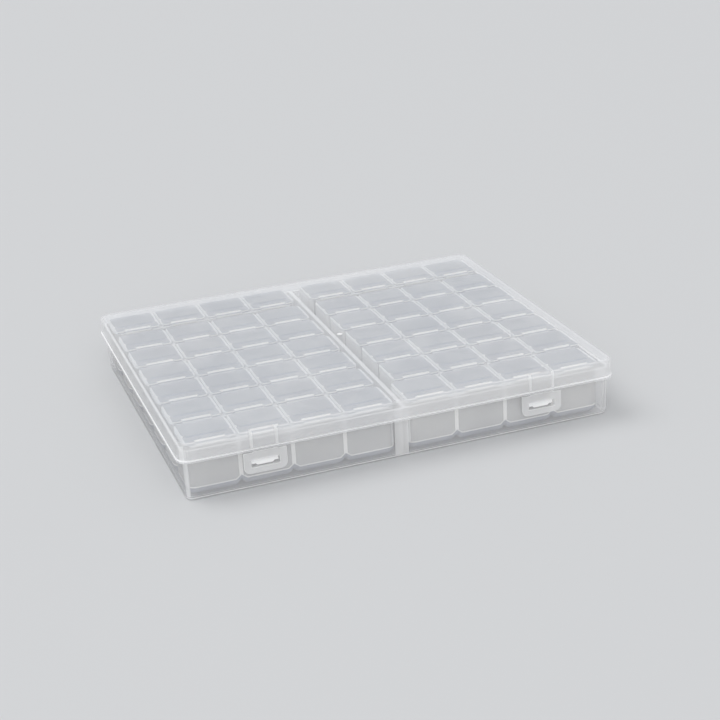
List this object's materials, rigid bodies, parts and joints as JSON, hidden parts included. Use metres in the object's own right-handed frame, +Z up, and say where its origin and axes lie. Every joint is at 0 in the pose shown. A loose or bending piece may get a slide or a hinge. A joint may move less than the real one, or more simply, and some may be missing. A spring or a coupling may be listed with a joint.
{
  "type": "compartment storage box",
  "caption": "Flat frosted box with a hinged snap-latched lid over removable strips of lidded cups.",
  "frame": {"origin": "centre of the footprint, on the surface it stands on", "axes": "+X along the latched front, left to right, +Y to the hinged back, +Z up"},
  "size_m": [0.21, 0.1794, 0.0285],
  "materials": {
    "frosted_plastic": "frosted, milky translucent polypropylene",
    "cup_plastic": "smoother, clearer translucent polypropylene"
  },
  "bodies": {
    "tray": {"outer_tray": "frosted_plastic", "strip_left_1": "cup_plastic", "strip_right_1": "cup_plastic", "strip_left_2": "cup_plastic", "strip_right_2": "cup_plastic", "strip_left_3": "cup_plastic", "strip_right_3": "cup_plastic", "strip_left_4": "cup_plastic", "strip_right_4": "cup_plastic", "strip_left_5": "cup_plastic", "strip_right_5": "cup_plastic", "strip_left_6": "cup_plastic", "strip_right_6": "cup_plastic", "strip_left_7": "cup_plastic", "strip_right_7": "cup_plastic"},
    "lid": {"outer_lid": "frosted_plastic"},
    "latch_left": {"latch_left": "frosted_plastic"},
    "latch_right": {"latch_right": "frosted_plastic"},
    "cup_lids_left_1": {"cup_lids_left_1": "cup_plastic"},
    "cup_lids_right_1": {"cup_lids_right_1": "cup_plastic"},
    "cup_lids_left_2": {"cup_lids_left_2": "cup_plastic"},
    "cup_lids_right_2": {"cup_lids_right_2": "cup_plastic"},
    "cup_lids_left_3": {"cup_lids_left_3": "cup_plastic"},
    "cup_lids_right_3": {"cup_lids_right_3": "cup_plastic"},
    "cup_lids_left_4": {"cup_lids_left_4": "cup_plastic"},
    "cup_lids_right_4": {"cup_lids_right_4": "cup_plastic"},
    "cup_lids_left_5": {"cup_lids_left_5": "cup_plastic"},
    "cup_lids_right_5": {"cup_lids_right_5": "cup_plastic"},
    "cup_lids_left_6": {"cup_lids_left_6": "cup_plastic"},
    "cup_lids_right_6": {"cup_lids_right_6": "cup_plastic"},
    "cup_lids_left_7": {"cup_lids_left_7": "cup_plastic"},
    "cup_lids_right_7": {"cup_lids_right_7": "cup_plastic"}
  },
  "joints": [
    {"name": "outer_lid_hinge", "type": "hinge", "parent": "tray", "child": "lid", "pos_m": [0, 0.08755, 0.0178], "axis": [-1, 0, 0], "range_deg": [0, 180]},
    {"name": "latch_left_film", "type": "hinge", "parent": "lid", "child": "latch_left", "pos_m": [-0.0665, -0.08958, 0.0188], "axis": [-1, 0, 0], "range_deg": [-6, 90]},
    {"name": "latch_right_film", "type": "hinge", "parent": "lid", "child": "latch_right", "pos_m": [0.0665, -0.08958, 0.0188], "axis": [-1, 0, 0], "range_deg": [-6, 90]},
    {"name": "cup_lids_left_1_film", "type": "hinge", "parent": "tray", "child": "cup_lids_left_1", "pos_m": [-0.05265, -0.0629, 0.02558], "axis": [-1, 0, 0], "range_deg": [0, 108]},
    {"name": "cup_lids_right_1_film", "type": "hinge", "parent": "tray", "child": "cup_lids_right_1", "pos_m": [0.0497, -0.0629, 0.02558], "axis": [-1, 0, 0], "range_deg": [0, 108]},
    {"name": "cup_lids_left_2_film", "type": "hinge", "parent": "tray", "child": "cup_lids_left_2", "pos_m": [-0.05265, -0.0393, 0.02558], "axis": [-1, 0, 0], "range_deg": [0, 108]},
    {"name": "cup_lids_right_2_film", "type": "hinge", "parent": "tray", "child": "cup_lids_right_2", "pos_m": [0.05265, -0.0393, 0.02558], "axis": [-1, 0, 0], "range_deg": [0, 108]},
    {"name": "cup_lids_left_3_film", "type": "hinge", "parent": "tray", "child": "cup_lids_left_3", "pos_m": [-0.05265, -0.0157, 0.02558], "axis": [-1, 0, 0], "range_deg": [0, 108]},
    {"name": "cup_lids_right_3_film", "type": "hinge", "parent": "tray", "child": "cup_lids_right_3", "pos_m": [0.05265, -0.0157, 0.02558], "axis": [-1, 0, 0], "range_deg": [0, 108]},
    {"name": "cup_lids_left_4_film", "type": "hinge", "parent": "tray", "child": "cup_lids_left_4", "pos_m": [-0.05265, 0.0079, 0.02558], "axis": [-1, 0, 0], "range_deg": [0, 108]},
    {"name": "cup_lids_right_4_film", "type": "hinge", "parent": "tray", "child": "cup_lids_right_4", "pos_m": [0.05265, 0.0079, 0.02558], "axis": [-1, 0, 0], "range_deg": [0, 108]},
    {"name": "cup_lids_left_5_film", "type": "hinge", "parent": "tray", "child": "cup_lids_left_5", "pos_m": [-0.05265, 0.0315, 0.02558], "axis": [-1, 0, 0], "range_deg": [0, 108]},
    {"name": "cup_lids_right_5_film", "type": "hinge", "parent": "tray", "child": "cup_lids_right_5", "pos_m": [0.05265, 0.0315, 0.02558], "axis": [-1, 0, 0], "range_deg": [0, 108]},
    {"name": "cup_lids_left_6_film", "type": "hinge", "parent": "tray", "child": "cup_lids_left_6", "pos_m": [-0.05265, 0.0551, 0.02558], "axis": [-1, 0, 0], "range_deg": [0, 108]},
    {"name": "cup_lids_right_6_film", "type": "hinge", "parent": "tray", "child": "cup_lids_right_6", "pos_m": [0.05265, 0.0551, 0.02558], "axis": [-1, 0, 0], "range_deg": [0, 108]},
    {"name": "cup_lids_left_7_film", "type": "hinge", "parent": "tray", "child": "cup_lids_left_7", "pos_m": [-0.05265, 0.0817, 0.02558], "axis": [-1, 0, 0], "range_deg": [0, 108]},
    {"name": "cup_lids_right_7_film", "type": "hinge", "parent": "tray", "child": "cup_lids_right_7", "pos_m": [0.05265, 0.0817, 0.02558], "axis": [-1, 0, 0], "range_deg": [0, 108]}
  ],
  "couplings": [
    {"joint": "cup_lids_left_1_film", "follows": "outer_lid_hinge", "ratio": 0.6},
    {"joint": "cup_lids_right_1_film", "follows": "outer_lid_hinge", "ratio": 0.6},
    {"joint": "cup_lids_left_2_film", "follows": "outer_lid_hinge", "ratio": 0.6},
    {"joint": "cup_lids_right_2_film", "follows": "outer_lid_hinge", "ratio": 0.6},
    {"joint": "cup_lids_left_3_film", "follows": "outer_lid_hinge", "ratio": 0.6},
    {"joint": "cup_lids_right_3_film", "follows": "outer_lid_hinge", "ratio": 0.6},
    {"joint": "cup_lids_left_4_film", "follows": "outer_lid_hinge", "ratio": 0.6},
    {"joint": "cup_lids_right_4_film", "follows": "outer_lid_hinge", "ratio": 0.6},
    {"joint": "cup_lids_left_5_film", "follows": "outer_lid_hinge", "ratio": 0.6},
    {"joint": "cup_lids_right_5_film", "follows": "outer_lid_hinge", "ratio": 0.6},
    {"joint": "cup_lids_left_6_film", "follows": "outer_lid_hinge", "ratio": 0.6},
    {"joint": "cup_lids_right_6_film", "follows": "outer_lid_hinge", "ratio": 0.6},
    {"joint": "cup_lids_left_7_film", "follows": "outer_lid_hinge", "ratio": 0.6},
    {"joint": "cup_lids_right_7_film", "follows": "outer_lid_hinge", "ratio": 0.6}
  ]
}
